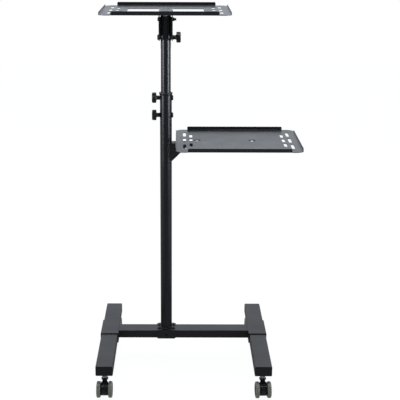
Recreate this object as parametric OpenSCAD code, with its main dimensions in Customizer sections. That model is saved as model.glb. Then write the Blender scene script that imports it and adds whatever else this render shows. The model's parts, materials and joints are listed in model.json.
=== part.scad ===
// Projector cart. An H-shaped base on twin-wheel casters carries a telescoping
// column, a tilting upper tray and a fixed side tray on a gusseted arm.
// Millimetres. +Z is up, +X points to the side tray, -Y points to the user.
// The origin lies on the floor, under the middle of the whole cart.

/* [Base] */
// Length of a foot, end caps included
foot_l = 456; // [380:4:520]
// Width of a foot tube
foot_w = 50; // [44:1:60]
// Height of a foot tube
foot_h = 30; // [28:1:36]
// Wall of the foot and crossbar tubes
base_wall = 1.5; // [1.2:0.1:2.5]
// Outer corner radius of the foot and crossbar tubes
tube_r = 3; // [2.6:0.1:5]
// Underside of the feet above the floor
foot_z = 69; // [66:1:90]
// Column axis to the front end of the feet
foot_front = 268; // [220:1:290]
// Column axis to the middle of the left foot
left_reach = 176; // [130:1:240]
// Column axis to the middle of the right foot
right_reach = 284; // [200:1:340]
// Flange of a foot's end cap
cap_t = 3; // [2:0.5:5]
// Length of the end cap's plug inside the tube
plug_l = 9; // [6:1:10]
// Width of the crossbar
bar_w = 50; // [40:1:60]
// Height of the crossbar
bar_h = 25; // [20:1:30]
// Length of a foot saddle along its foot
saddle_l = 100; // [70:1:140]
// Plate of the foot saddles
saddle_t = 2.5; // [2:0.5:4]
// Spacing of a foot's two bolts
saddle_pitch = 60; // [40:1:64]
// Thread of the base bolts
base_bolt_d = 6; // [5:0.5:8]

/* [Column] */
// Outer diameter of the lower pole
pole_d = 35; // [33:0.5:45]
// Wall of the lower pole
pole_wall = 1.5; // [1.2:0.1:2]
// Length of the lower pole
pole_l = 743; // [650:1:820]
// Outer diameter of the upper pole
mast_d = 30; // [27:0.5:30]
// Wall of the upper pole
mast_wall = 1.5; // [1.2:0.1:2.5]
// How far the upper pole stands out of the lower one
mast_out = 226; // [220:1:300]
// Travel of the upper pole upwards
travel_up = 150; // [60:1:220]
// Travel of the upper pole downwards
travel_down = 140; // [60:1:140]
// Upper clamp bolt below the top of the lower pole
clamp_drop = 13; // [12.5:0.5:20]
// Spacing of the two clamp bolts
clamp_pitch = 51.5; // [40:0.5:70]
// Thread of the clamp and tilt bolts
clamp_bolt_d = 8; // [6:0.5:8]
// Length of the column seat along the crossbar
seat_l = 60; // [58:1:90]
// Plate of the column seat
seat_t = 3; // [2:0.5:5]
// Bolt spacing of the column seat along the crossbar
seat_pitch_x = 44; // [43:1:46]
// Bolt spacing of the column seat across the crossbar
seat_pitch_y = 24; // [18:1:30]

/* [Knobs] */
// Diameter of a hand knob over its lobes
knob_d = 31; // [26:0.5:36]
// Thickness of a hand knob's head
knob_t = 13; // [10:0.5:18]
// Length of a hand knob's neck
neck_l = 10; // [8:0.5:14]
// Lobes of a hand knob
knob_lobes = 5; // [5:1:8]

/* [Trays] */
// Length of a tray
tray_l = 364; // [340:1:420]
// Depth of a tray, front to back
tray_w = 290; // [280:1:340]
// Sheet of the trays
sheet_t = 1.5; // [1:0.1:2.5]
// Height of the front and back lips above the tray
lip_h = 10; // [6:0.5:20]
// Length of the front and back lips
lip_l = 294; // [240:1:310]
// Height of the end lips above the tray
end_lip_h = 5.5; // [4:0.5:12]
// Length of the end lips
end_lip_l = 236; // [200:1:240]
// Corner radius of a tray
wing_r = 22; // [10:1:26]
// Inner radius of the bends
bend_r = 1.5; // [1:0.5:3]
// Width of the strap slots
slot_w = 9; // [6:0.5:10]
// Length of the outer strap slots
outer_slot_l = 50; // [30:1:56]
// Length of the inner strap slots
inner_slot_l = 38; // [24:1:44]
// Spacing of the outer strap slots
outer_pitch = 76; // [62:1:80]
// Spacing of the inner strap slots
inner_pitch = 57; // [50:1:66]
// Outer strap slots in from the end of the tray
outer_inset = 26; // [22:0.5:28]
// Inner strap slots in from the end of the tray
inner_inset = 45; // [42:0.5:50]
// Width of a window in the upper tray
window_w = 90; // [50:1:94]
// Depth of a window in the upper tray
window_d = 80; // [50:1:150]
// Corner radius of a window
window_r = 8; // [2:0.5:16]
// Strip between the two windows
strip_w = 37; // [30:1:44]
// Top of the side tray above the floor
side_tray_z = 704; // [500:1:730]
// Column axis to the near end of the side tray
side_gap = 29; // [24:1:60]
// Thread of the tray screws
tray_screw_d = 6; // [4:0.5:6]
// Height of a tray screw's head
screw_head_h = 3.2; // [2.4:0.1:4]

/* [Side arm] */
// Width of the arm
arm_w = 29; // [20:0.5:32]
// Plate of the arm
arm_t = 2.5; // [2:0.5:4]
// Depth of the arm at the column
gusset_h = 53.5; // [45:0.5:90]
// Depth of the arm under the tray
arm_h = 14; // [12:0.5:24]
// Length of the arm from the column axis
arm_l = 270; // [264:1:320]
// Column axis to the near tray screw
near_screw_x = 92; // [91:1:120]
// Column axis to the far tray screw
far_screw_x = 255; // [200:1:255]

/* [Tilt head] */
// Plate of the tilt bracket
ear_t = 2.5; // [2:0.5:4]
// Width of an ear, front to back
ear_w = 50; // [48:1:60]
// Length of the bracket's web under the tray
web_l = 100; // [90:1:130]
// Ear's inner face to the upper pole
ear_gap = 2.5; // [2:0.1:4]
// Pivot bolt below the web
head_rise = 18.2; // [18:0.1:30]
// Top of the upper pole above the pivot bolt
pole_over = 13; // [10:0.5:14]
// Pivot bolt to tilt bolt
tilt_arm = 51; // [40:0.5:56]
// Tilt each way
tilt_range = 15; // [5:1:15]
// Thread of the pivot bolt
pivot_d = 6; // [5:0.5:8]
// Spacing of the upper tray's two screws, front to back
head_pitch = 76; // [72:1:78]

/* [Casters] */
// Diameter of a wheel
wheel_d = 48; // [46:1:52]
// Width of one wheel of a pair
wheel_w = 11.2; // [10:0.1:15]
// Thickness of a tyre
tyre_t = 5.5; // [4:0.5:6]
// Shoulder radius of a tyre
shoulder_r = 3.5; // [1:0.5:4]
// Width of the hood between the wheels
hood_w = 22; // [20:0.5:26]
// Radius of the hood round the axle
hood_r = 17.4; // [16.8:0.2:19]
// Stem axis to the axle
trail = 18; // [17:0.5:22]
// Stem axis in from the end of the foot
stem_inset = 22; // [20:0.5:30]
// Diameter of the axle
axle_d = 6; // [5:0.5:8]
// Diameter of the zinc stem ring
ring_d = 16; // [14:0.5:17]
// Top of the hood's collar above the floor
collar_z = 53; // [52:0.5:58]
// Diameter of the hood's collar
collar_d = 20; // [18:0.5:22]
// Width of the brake lever
brake_w = 14; // [10:0.5:15]
// Travel of the brake lever
brake_travel = 12; // [6:1:12]
// Turn of the front left caster
turn_fl = 0; // [-180:1:180]
// Turn of the front right caster
turn_fr = 2; // [-180:1:180]
// Turn of the rear left caster
turn_rl = 180; // [-180:1:180]
// Turn of the rear right caster
turn_rr = 180; // [-180:1:190]

/* [Hidden] */

$fn = 48;

// Colours
coat = "#2b2b2e";
plastic = "#17171a";
zinc = "#b9bcc0";
tread = "#8b8c82";

// Clearances and the overrun of every cut
fit = 0.05;
slide_fit = 0.1;
loose = 0.3;
over = 1;

// Base
foot_back = foot_l - foot_front;
foot_top = foot_z + foot_h;
cap_wall = 2;
foot_nut_d = 10;
foot_nut_h = 8;
head_h = 3.5;
stem_thread_d = 10;
stem_thread_l = 18;
stem_boss_d = 15;
stem_boss_h = 10;
saddle_out = foot_w / 2 + fit + saddle_t;
bar_start = saddle_out - left_reach;
bar_end = right_reach - saddle_out;

// Column seat
seat_top = foot_top + seat_t;
seat_chamfer = 6;
seat_lower_chamfer = 4;
seat_drop = 1;
seat_hole_d = 7;
weld = 3;
nut_h = 5;

// Column
pole_r = pole_d / 2;
mast_r = mast_d / 2;
pole_top = seat_top + pole_l;
clamp_hi = pole_top - clamp_drop;
clamp_lo = clamp_hi - clamp_pitch;
mast_top = pole_top + mast_out;
mast_slot_w = clamp_bolt_d + 2 * loose;
mast_slot_hi = clamp_hi + travel_down + mast_slot_w / 2 + over;
mast_slot_lo = clamp_lo - travel_up - mast_slot_w / 2 - over;
mast_tail = 24;
mast_bottom = mast_slot_lo - mast_tail;
bush_flange = 3;
bush_rim = 2.5;
bush_flange_d = pole_d + 2 * bush_rim;
bush_skirt = 4;
bush_skirt_t = 1;
bush_l = 42;
plug_flange = 4;
plug_body = 14;

// Round bolt heads and hand knobs
dome_d = 2 * clamp_bolt_d;
dome_h = 4.2;
thread_in = 16;
knob_wall = 2;
nut_share = 5 / 3;

// Trays: each screw's head lies in a pressed dish that stands on the arm or bracket
bend = bend_r + sheet_t;
relief = 1.5;
lip_corner = 4;
screw_head_share = 2;
dish_spare = 0.6;
dish_margin = 1.5;
dish_a = 45;
dish_h = screw_head_h + dish_spare;
dish_floor_r = screw_head_share * tray_screw_d / 2 + dish_margin;
dish_brim_r = dish_floor_r + dish_h / tan(dish_a);
dish_under = sheet_t * tan(dish_a / 2);

// Tilt head
pivot_z = mast_top - pole_over;
tilt_z = pivot_z - tilt_arm;
web_z = pivot_z + head_rise;
upper_tray_z = web_z + ear_t + dish_h + sheet_t;
ear_in = mast_r + ear_gap;
ear_out = ear_in + ear_t;
ear_side = 0.2;
arm_toe = 1.5;
arc_w = clamp_bolt_d + 2 * loose;
arc_spare = 1;
arc_end = 0.3;
ear_edge = 5.7;
ear_end_r = tilt_arm + arc_w / 2 + ear_edge;
spacer_d = 14;
pivot_tail = 4;

// Casters
wheel_r = wheel_d / 2;
hub_r = wheel_r - tyre_t;
wheel_gap = 0.5;
wheel_in = hood_w / 2 + wheel_gap;
wheel_out = wheel_in + wheel_w;
hub_web = 1.6;
hub_rim = 2;
hub_dish = 0.8;
hub_boss_t = 3;
hub_boss_r = axle_d / 2 + hub_boss_t;
hub_ribs = 6;
rib_t = 1.2;
hood_chamfer = 1.6;
hood_hole_d = 3.4;
hood_hole_a = 72;
hood_rise = 2.6;
hood_crown_a = 60;
neck_d = 14;
collar_h = 4;
collar_taper = 2;
pin_d = 8;
pin_l = 13;
brake_r = 3;
brake_gap = 0.4;
brake_pin_d = 3;
brake_pin_l = 2.4;
brake_pad_t = 3.2;
brake_proud = 0.8;
brake_lip = 1.6;
brake_pivot_a = 40;
brake_top_a = 46;
brake_slot_a = 54;
brake_lip_a = -8;
brake_tip_a = -18;
brake_foot_a = -21;
brake_pad_r = hood_r + brake_proud;
brake_pivot_r = hood_r - brake_r - brake_gap;

// Places of the four casters: x, y and turn
stem_front = -foot_front + stem_inset;
stem_rear = foot_back - stem_inset;
FL = [-left_reach, stem_front, turn_fl];
FR = [right_reach, stem_front, turn_fr];
RL = [-left_reach, stem_rear, turn_rl];
RR = [right_reach, stem_rear, turn_rr];

// How far a caster's tyres reach past its stem in a direction, from its turn
function across(a) =
    (wheel_r - shoulder_r) * abs(cos(a)) + (wheel_out - shoulder_r) * abs(sin(a)) + shoulder_r;
function front_of(c) = -c[1] + trail * cos(c[2]) + across(c[2]);
function back_of(c) = c[1] - trail * cos(c[2]) + across(c[2]);

// Middle of the whole cart, measured from the column axis
front = max(foot_front, tray_w / 2, front_of(FL), front_of(FR));
back = max(foot_back, tray_w / 2, back_of(RL), back_of(RR));
left = max(left_reach + saddle_out, tray_l / 2);
right = max(right_reach + saddle_out, side_gap + tray_l);
mid_x = (right - left) / 2;
mid_y = (back - front) / 2;
echo(mid_x = mid_x, mid_y = mid_y, front = front, back = back, left = left, right = right);

module placed() { translate([-mid_x, -mid_y, 0]) children(); }

// Shared shapes

module round_rect(l, w, r) {
    square([l - 2 * r, w], center = true);
    square([l, w - 2 * r], center = true);
    for (x = [-1, 1], y = [-1, 1])
        translate([x * (l / 2 - r), y * (w / 2 - r)]) circle(r = r);
}

// A slot that runs along Y, with round ends
module slot(l, w) {
    square([w, l - w], center = true);
    for (y = [-1, 1]) translate([0, y * (l - w) / 2]) circle(d = w);
}

// Rectangular tube along Y, from y = 0
module tube_y(l, w, h, wall, r) {
    rotate([-90, 0, 0]) linear_extrude(l) difference() {
        round_rect(w, h, r);
        round_rect(w - 2 * wall, h - 2 * wall, r - wall);
    }
}

// A cylinder along X from x = 0
module rod_x(d, l) { rotate([0, 90, 0]) cylinder(d = d, h = l); }

// A ring along X from x = 0
module ring_x(d, bore, l) {
    difference() {
        rod_x(d, l);
        translate([-over, 0, 0]) rod_x(bore, l + 2 * over);
    }
}

// A domed head on the XY plane, rising along +Z
module dome(d, h) {
    rotate_extrude() intersection() {
        square([d / 2, h]);
        translate([0, h - (d * d / 4 + h * h) / (2 * h)]) circle(r = (d * d / 4 + h * h) / (2 * h), $fn = 96);
    }
}

// A hexagon nut on the XY plane; af is its width across flats
module hex_nut(af, bore, h) {
    difference() {
        cylinder(d = af / cos(30), h = h, $fn = 6);
        translate([0, 0, -over]) cylinder(d = bore, h = h + 2 * over);
    }
}

// Base

// The tube of a foot: two caster nuts welded inside, four holes for the saddle bolts
module foot(x) {
    color(coat) placed() translate([x, 0, 0]) difference() {
        union() {
            translate([0, cap_t - foot_front, foot_z + foot_h / 2])
                tube_y(foot_l - 2 * cap_t, foot_w, foot_h, base_wall, tube_r);
            for (y = [stem_front, stem_rear])
                translate([0, y, foot_z + base_wall / 2]) cylinder(d = stem_boss_d, h = stem_boss_h);
        }
        for (y = [stem_front, stem_rear]) translate([0, y, foot_z - over])
            cylinder(d = stem_thread_d + 2 * fit, h = foot_h - 2 * base_wall);
        for (y = [-1, 1] * saddle_pitch / 2) translate([0, y, 0]) {
            translate([0, 0, foot_z - over]) cylinder(d = base_bolt_d + 2 * loose, h = base_wall + 2 * over);
            translate([0, 0, foot_top - base_wall - over])
                cylinder(d = foot_nut_d + 2 * loose, h = base_wall + 2 * over);
        }
    }
}

// Plastic cap: a flange flush with the tube and a hollow plug inside it
module end_cap(x, y, way) {
    plug_w = foot_w - 2 * base_wall - 2 * slide_fit;
    plug_h = foot_h - 2 * base_wall - 2 * slide_fit;
    plug_r = tube_r - base_wall;
    color(plastic) placed() translate([x, y, foot_z + foot_h / 2]) rotate([0, 0, way]) {
        rotate([-90, 0, 0]) linear_extrude(cap_t) round_rect(foot_w, foot_h, tube_r);
        translate([0, cap_t - over, 0]) rotate([-90, 0, 0]) linear_extrude(plug_l + over) difference() {
            round_rect(plug_w, plug_h, plug_r);
            round_rect(plug_w - 2 * cap_wall, plug_h - 2 * cap_wall, plug_r);
        }
    }
}

// Folded saddle over a foot, with two nuts welded under its top
module saddle(x) {
    inner = foot_w + 2 * fit;
    color(coat) placed() translate([x, 0, 0]) {
        translate([0, saddle_l / 2, 0]) rotate([90, 0, 0]) linear_extrude(saddle_l) difference() {
            union() {
                translate([-saddle_out, foot_z]) square([2 * saddle_out, foot_h]);
                translate([saddle_t - saddle_out, foot_top])
                    square([2 * (saddle_out - saddle_t), saddle_t]);
                for (s = [-1, 1]) translate([s * (saddle_out - saddle_t), foot_top]) circle(r = saddle_t);
            }
            translate([-inner / 2, foot_z - over]) square([inner, foot_h + over]);
        }
        for (y = [-1, 1] * saddle_pitch / 2) translate([0, y, foot_top - foot_nut_h]) difference() {
            cylinder(d = foot_nut_d, h = foot_nut_h + saddle_t / 2);
            translate([0, 0, -over]) cylinder(d = base_bolt_d + 2 * fit, h = foot_nut_h + over);
        }
    }
}

// Bolts from below, through each foot and into its saddle's nuts
module foot_bolts() {
    color(zinc) placed()
        for (x = [-left_reach, right_reach], y = [-1, 1] * saddle_pitch / 2) translate([x, y, foot_z]) {
            cylinder(d = base_bolt_d, h = foot_h - over);
            mirror([0, 0, 1]) dome(2 * base_bolt_d, head_h);
        }
}

module crossbar() {
    color(coat) placed() difference() {
        translate([bar_end, 0, foot_top - bar_h / 2]) rotate([0, 0, 90])
            tube_y(bar_end - bar_start, bar_w, bar_h, base_wall, tube_r);
        seat_holes(base_bolt_d + 2 * loose);
    }
}

module seat_holes(d) {
    for (x = [-1, 1] * seat_pitch_x / 2, y = [-1, 1] * seat_pitch_y / 2)
        translate([x, y, foot_top - bar_h - over]) cylinder(d = d, h = bar_h + seat_t + 2 * over);
}

// Plate folded over the crossbar; the column is welded on it
module column_seat() {
    half_y = bar_w / 2 + fit + seat_t;
    flange_h = bar_h + seat_t + seat_drop;
    color(coat) placed() difference() {
        union() {
            translate([0, 0, foot_top]) linear_extrude(seat_t) polygon([
                [-seat_l / 2, -half_y], [seat_l / 2, -half_y],
                [seat_l / 2, half_y - seat_chamfer], [seat_l / 2 - seat_chamfer, half_y],
                [seat_chamfer - seat_l / 2, half_y], [-seat_l / 2, half_y - seat_chamfer]
            ]);
            translate([0, -half_y + seat_t, seat_top]) rotate([90, 0, 0]) linear_extrude(seat_t)
                seat_flange(seat_l, flange_h);
            translate([0, half_y, seat_top]) rotate([90, 0, 0]) linear_extrude(seat_t)
                seat_flange(seat_l - 2 * seat_chamfer, flange_h);
        }
        seat_holes(base_bolt_d + 2 * loose);
        translate([0, half_y + over, foot_top - bar_h / 2]) rotate([90, 0, 0])
            cylinder(d = seat_hole_d, h = 2 * half_y + 2 * over);
    }
}

// Flange outline hanging from y = 0, its lower corners cut off
module seat_flange(l, h) {
    c = seat_lower_chamfer;
    polygon([[-l / 2, 0], [l / 2, 0], [l / 2, c - h], [l / 2 - c, -h], [c - l / 2, -h], [-l / 2, c - h]]);
}

module seat_bolts() {
    color(zinc) placed()
        for (x = [-1, 1] * seat_pitch_x / 2, y = [-1, 1] * seat_pitch_y / 2) translate([x, y, seat_top]) {
            dome(2 * base_bolt_d, head_h);
            mirror([0, 0, 1]) cylinder(d = base_bolt_d, h = seat_t + bar_h + nut_h + over);
        }
}

module seat_nuts() {
    color(zinc) placed()
        for (x = [-1, 1] * seat_pitch_x / 2, y = [-1, 1] * seat_pitch_y / 2)
            translate([x, y, foot_top - bar_h - nut_h])
                hex_nut(base_bolt_d * nut_share, base_bolt_d + 2 * fit, nut_h);
}

// Column

// Lower pole with its weld bead at the foot and the holes of the two clamp bolts
module lower_pole() {
    color(coat) placed() difference() {
        union() {
            translate([0, 0, seat_top]) cylinder(r = pole_r, h = pole_l);
            translate([0, 0, seat_top]) cylinder(r1 = pole_r + weld, r2 = pole_r, h = weld);
        }
        translate([0, 0, seat_top - over]) cylinder(r = pole_r - pole_wall, h = pole_l + 2 * over);
        for (z = [clamp_lo, clamp_hi])
            translate([-pole_r - over, 0, z]) rod_x(clamp_bolt_d + 2 * slide_fit, pole_d + 2 * over);
    }
}

// Plastic guide pressed into the top of the lower pole
module pole_bush() {
    bore = mast_r + slide_fit;
    sleeve = pole_r - pole_wall - fit;
    outer = bush_flange_d / 2;
    color(plastic) placed() difference() {
        translate([0, 0, pole_top]) rotate_extrude() polygon([
            [bore, -bush_l], [sleeve, -bush_l], [sleeve, 0], [pole_r + fit, 0],
            [pole_r + fit, -bush_skirt], [pole_r + fit + bush_skirt_t, -bush_skirt],
            [outer, 0], [outer, bush_flange / 2], [outer - bush_flange / 2, bush_flange],
            [bore, bush_flange]
        ]);
        translate([-pole_r - over, 0, clamp_hi]) rod_x(clamp_bolt_d + 2 * loose, pole_d + 2 * over);
    }
}

// Bolt with a domed head on the right, through both poles to the knob on the left
module clamp_bolt(z) {
    color(zinc) placed() translate([0, 0, z]) {
        translate([pole_r, 0, 0]) rotate([0, 90, 0]) dome(dome_d, dome_h);
        translate([-pole_r - thread_in, 0, 0]) rod_x(clamp_bolt_d, pole_d + thread_in);
    }
}

// Lobed hand knob along +Z from its neck's foot, with a blind bore for its bolt
module knob() {
    r = knob_d / 2;
    tall = neck_l + knob_t;
    neck_r = clamp_bolt_d / 2 + knob_wall;
    scoop = knob_d / knob_lobes;
    profile_share = [[0.5, 1], [0.85, 0.85], [1, 0.55], [1, 0.15], [0.8, 0]];
    difference() {
        rotate_extrude() polygon(concat(
            [[0, 0], [neck_r + knob_wall / 2, 0], [neck_r, neck_l / 3], [neck_r, neck_l * 2 / 3]],
            [for (i = [len(profile_share) - 1 : -1 : 0])
                [r * profile_share[i][0], neck_l + knob_t * profile_share[i][1]]],
            [[0, tall]]
        ));
        for (i = [0 : knob_lobes - 1]) rotate([0, 0, i * 360 / knob_lobes])
            translate([r + scoop / 2, 0, neck_l * 2 / 3]) cylinder(r = scoop, h = tall);
        translate([0, 0, -over]) cylinder(d = clamp_bolt_d + 2 * fit, h = thread_in + 2 * over);
    }
}

module clamp_knob(z) {
    color(plastic) placed() translate([-pole_r - loose, 0, z]) rotate([0, -90, 0]) knob();
}

// Upper pole: a long slot on each side passes the clamp bolts over the whole travel
module upper_pole() {
    color(coat) placed() difference() {
        translate([0, 0, mast_bottom]) cylinder(r = mast_r, h = mast_top - mast_bottom);
        translate([0, 0, mast_bottom - over])
            cylinder(r = mast_r - mast_wall, h = mast_top - mast_bottom + 2 * over);
        translate([-mast_r - over, 0, (mast_slot_hi + mast_slot_lo) / 2]) rotate([90, 0, 90])
            linear_extrude(mast_d + 2 * over) slot(mast_slot_hi - mast_slot_lo, mast_slot_w);
        translate([-mast_r - over, 0, pivot_z]) rod_x(pivot_d + 2 * fit, mast_d + 2 * over);
        translate([-mast_r - over, 0, tilt_z]) rod_x(clamp_bolt_d + 2 * fit, mast_d + 2 * over);
    }
}

// Plastic end of the upper pole, a slider inside the lower one
module pole_plug() {
    color(plastic) placed() translate([0, 0, mast_bottom]) rotate_extrude() difference() {
        union() {
            translate([0, -plug_flange]) square([pole_r - pole_wall - 2 * slide_fit, plug_flange]);
            square([mast_r - mast_wall - slide_fit, plug_body]);
        }
        translate([0, cap_wall]) square([mast_r - mast_wall - slide_fit - cap_wall, plug_body]);
    }
}

// Tilt head

// Ear outline in Y and Z, its pivot at the origin
module ear_outline() {
    difference() {
        intersection() {
            circle(r = ear_end_r, $fn = 96);
            translate([-ear_w / 2, -ear_end_r]) square([ear_w, ear_end_r + head_rise + ear_t / 2]);
        }
        circle(d = pivot_d + 2 * fit);
        arc_slot();
    }
}

module arc_slot() {
    a = tilt_range + arc_spare;
    reach = 2 * ear_end_r;
    intersection() {
        difference() {
            circle(r = tilt_arm + arc_w / 2, $fn = 96);
            circle(r = tilt_arm - arc_w / 2, $fn = 96);
        }
        polygon([[0, 0], [-reach * sin(a), -reach * cos(a)], [reach * sin(a), -reach * cos(a)]]);
    }
    for (s = [-a, a]) rotate(s) translate([0, -tilt_arm]) circle(d = arc_w + arc_end);
}

module tilt_bracket() {
    color(coat) placed() translate([0, 0, pivot_z]) difference() {
        union() {
            translate([0, 0, head_rise]) linear_extrude(ear_t) round_rect(2 * ear_out, web_l, bend_r);
            for (x = [-ear_out, ear_in]) translate([x, 0, 0]) rotate([90, 0, 90])
                linear_extrude(ear_t) ear_outline();
        }
        for (y = [-1, 1] * head_pitch / 2)
            translate([0, y, head_rise - over]) cylinder(d = tray_screw_d + 2 * fit, h = ear_t + 2 * over);
    }
}

module pivot_bolt() {
    color(zinc) placed() translate([0, 0, pivot_z]) {
        translate([-ear_out - ear_side, 0, 0]) {
            rod_x(pivot_d, 2 * ear_out + 2 * ear_side + nut_h + pivot_tail);
            rotate([0, -90, 0]) dome(2 * pivot_d, head_h);
        }
    }
}

module pivot_nut() {
    color(zinc) placed() translate([ear_out + ear_side, 0, pivot_z]) rotate([0, 90, 0])
        hex_nut(pivot_d * nut_share, pivot_d + 2 * fit, nut_h);
}

// Plastic spacers, hollowed to sit on the round pole inside the ears
module tilt_spacers() {
    color(plastic) placed() for (s = [-1, 1], at = [[pivot_z, pivot_d], [tilt_z, clamp_bolt_d]])
        translate([0, 0, at[0]]) mirror([s < 0 ? 1 : 0, 0, 0]) difference() {
            translate([mast_r / 2, 0, 0]) ring_x(spacer_d, at[1] + 2 * fit, ear_in - ear_side - mast_r / 2);
            translate([0, 0, -spacer_d]) cylinder(r = mast_r + fit, h = 2 * spacer_d);
        }
}

module tilt_bolt() {
    color(zinc) placed() translate([-ear_out - ear_side, 0, tilt_z]) {
        rod_x(clamp_bolt_d, 2 * ear_out + 2 * ear_side + thread_in);
        rotate([0, -90, 0]) dome(dome_d, dome_h);
    }
}

module tilt_knob() {
    color(plastic) placed() translate([ear_out + loose, 0, tilt_z]) rotate([0, 90, 0]) knob();
}

// Trays

// One upturned lip along X; its outer face lies at y = 0 and the sheet's underside at z = 0
module lip(l, h) {
    tall = sheet_t + h;
    intersection() {
        translate([-l / 2, 0, 0]) rotate([90, 0, 90]) linear_extrude(l) {
            translate([-sheet_t, bend]) square([sheet_t, tall - bend]);
            translate([-bend, bend]) intersection() {
                difference() {
                    circle(r = bend);
                    circle(r = bend_r);
                }
                translate([0, -bend]) square([bend, bend]);
            }
            translate([-bend - over, 0]) square([over, sheet_t]);
        }
        translate([0, over, 0]) rotate([90, 0, 0]) linear_extrude(bend + 3 * over) {
            translate([-l / 2, 0]) square([l, tall - lip_corner]);
            translate([lip_corner - l / 2, 0]) square([l - 2 * lip_corner, tall]);
            for (s = [-1, 1]) translate([s * (l / 2 - lip_corner), tall - lip_corner]) circle(r = lip_corner);
        }
    }
}

// Flat blank of a tray with its strap slots, cut back where the lips fold up
module tray_blank() {
    difference() {
        round_rect(tray_l, tray_w, wing_r);
        for (s = [-1, 1]) {
            translate([0, s * (tray_w / 2 - bend / 2 + over / 2)])
                square([lip_l + 2 * relief, bend + over], center = true);
            translate([s * (tray_l / 2 - bend / 2 + over / 2), 0])
                square([bend + over, end_lip_l + 2 * relief], center = true);
            for (i = [-1 : 1]) {
                translate([s * (tray_l / 2 - outer_inset), i * outer_pitch]) slot(outer_slot_l, slot_w);
                translate([s * (tray_l / 2 - inner_inset), i * inner_pitch]) slot(inner_slot_l, slot_w);
            }
        }
    }
}

module tray_lips() {
    for (a = [0, 180]) rotate([0, 0, a]) {
        translate([0, tray_w / 2, 0]) lip(lip_l, lip_h);
        rotate([0, 0, 90]) translate([0, tray_l / 2, 0]) lip(end_lip_l, end_lip_h);
    }
}

// Dish for a screw's head, pressed down from a tray whose top lies at z = 0
module dish() {
    bore_r = tray_screw_d / 2 + fit;
    rim_r = dish_brim_r + dish_under + over;
    rotate_extrude() polygon([
        [bore_r, -dish_h], [dish_floor_r, -dish_h], [dish_brim_r, 0], [rim_r, 0],
        [rim_r, -sheet_t], [dish_brim_r + dish_under, -sheet_t],
        [dish_floor_r + dish_under, -dish_h - sheet_t], [bore_r, -dish_h - sheet_t]
    ]);
}

module dish_hole() { circle(r = dish_brim_r + dish_under / 2); }

module upper_tray() {
    color(coat) placed() translate([0, 0, upper_tray_z - sheet_t]) {
        linear_extrude(sheet_t) difference() {
            tray_blank();
            for (s = [-1, 1]) translate([s * (strip_w + window_w) / 2, 0])
                round_rect(window_w, window_d, window_r);
            for (y = [-1, 1] * head_pitch / 2) translate([0, y]) dish_hole();
        }
        for (y = [-1, 1] * head_pitch / 2) translate([0, y, sheet_t]) dish();
        tray_lips();
    }
}

// A dome-headed screw in its dish, under a tray whose top lies at z = 0, with its nut below a plate
module tray_fixing(plate) {
    d = tray_screw_d;
    stack = sheet_t + plate;
    translate([0, 0, -dish_h]) {
        dome(screw_head_share * d, screw_head_h);
        mirror([0, 0, 1]) cylinder(d = d, h = stack + nut_h);
        translate([0, 0, -stack - nut_h]) hex_nut(d * nut_share, d + 2 * fit, nut_h);
    }
}

module upper_tray_fixings() {
    color(zinc) placed()
        for (y = [-1, 1] * head_pitch / 2) translate([0, y, upper_tray_z]) tray_fixing(ear_t);
}

// Middle of the side tray
side_x = side_gap + tray_l / 2;

module lower_tray() {
    color(coat) placed() translate([0, 0, side_tray_z - sheet_t]) {
        linear_extrude(sheet_t) difference() {
            translate([side_x, 0]) tray_blank();
            for (x = [near_screw_x, far_screw_x]) translate([x, 0]) dish_hole();
        }
        for (x = [near_screw_x, far_screw_x]) translate([x, 0, sheet_t]) dish();
        translate([side_x, 0, 0]) tray_lips();
    }
}

module lower_tray_fixings() {
    color(zinc) placed()
        for (x = [near_screw_x, far_screw_x]) translate([x, 0, side_tray_z]) tray_fixing(arm_t);
}

// Side arm: a folded channel, deep at the column, with a sloping flange below
module tray_arm() {
    top = side_tray_z - sheet_t - dish_h;
    root_x = pole_r / 2;
    slope = gusset_h - arm_h;
    toe = pole_r + arm_toe;
    side = [
        [root_x, top], [arm_l, top], [arm_l, top - arm_h], [toe + slope, top - arm_h],
        [toe, top - gusset_h], [root_x, top - gusset_h]
    ];
    flange = [
        [toe, top - gusset_h], [toe + slope, top - arm_h],
        [toe + slope - arm_t, top - arm_h + arm_t / 2], [toe - arm_t, top - gusset_h + arm_t / 2]
    ];
    color(coat) placed() difference() {
        union() {
            translate([root_x, -arm_w / 2, top - arm_t]) cube([arm_l - root_x, arm_w, arm_t]);
            for (y = [arm_w / 2, arm_t - arm_w / 2]) translate([0, y, 0]) rotate([90, 0, 0])
                linear_extrude(arm_t) polygon(side);
            translate([0, arm_w / 2, 0]) rotate([90, 0, 0]) linear_extrude(arm_w) polygon(flange);
        }
        translate([0, 0, top - gusset_h - over]) cylinder(r = pole_r, h = gusset_h + 2 * over);
        for (x = [near_screw_x, far_screw_x])
            translate([x, 0, top - arm_t - over]) cylinder(d = tray_screw_d + 2 * fit, h = arm_t + 2 * over);
    }
}

// Casters

// Puts a caster part, drawn with its stem at the origin, under its foot
module at_stem(c) { placed() translate([c[0], c[1], 0]) rotate([0, 0, c[2]]) children(); }

// Threaded stems with their zinc rings, screwed into the nuts in the feet
module caster_stems() {
    color(zinc) for (c = [FL, FR, RL, RR]) at_stem(c) {
        translate([0, 0, collar_z + loose]) cylinder(d = ring_d, h = foot_z - collar_z - loose);
        translate([0, 0, foot_z - over]) cylinder(d = stem_thread_d, h = stem_thread_l + over);
        translate([0, 0, collar_z + loose - pin_l]) cylinder(d = pin_d, h = pin_l + over);
    }
}

// Place in Y and Z at a radius from the axle and an angle above the front
function round_axle(r, a) = [-trail - r * cos(a), wheel_r + r * sin(a)];

// Sector round the axle between two angles, as an outline in Y and Z
module sector(r, a, b) {
    polygon([round_axle(0, 0), round_axle(r, a), round_axle(r, (a + b) / 2), round_axle(r, b)]);
}

module ring_2d(r, inner) {
    translate([-trail, wheel_r]) difference() {
        circle(r = r);
        circle(r = inner);
    }
}

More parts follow.
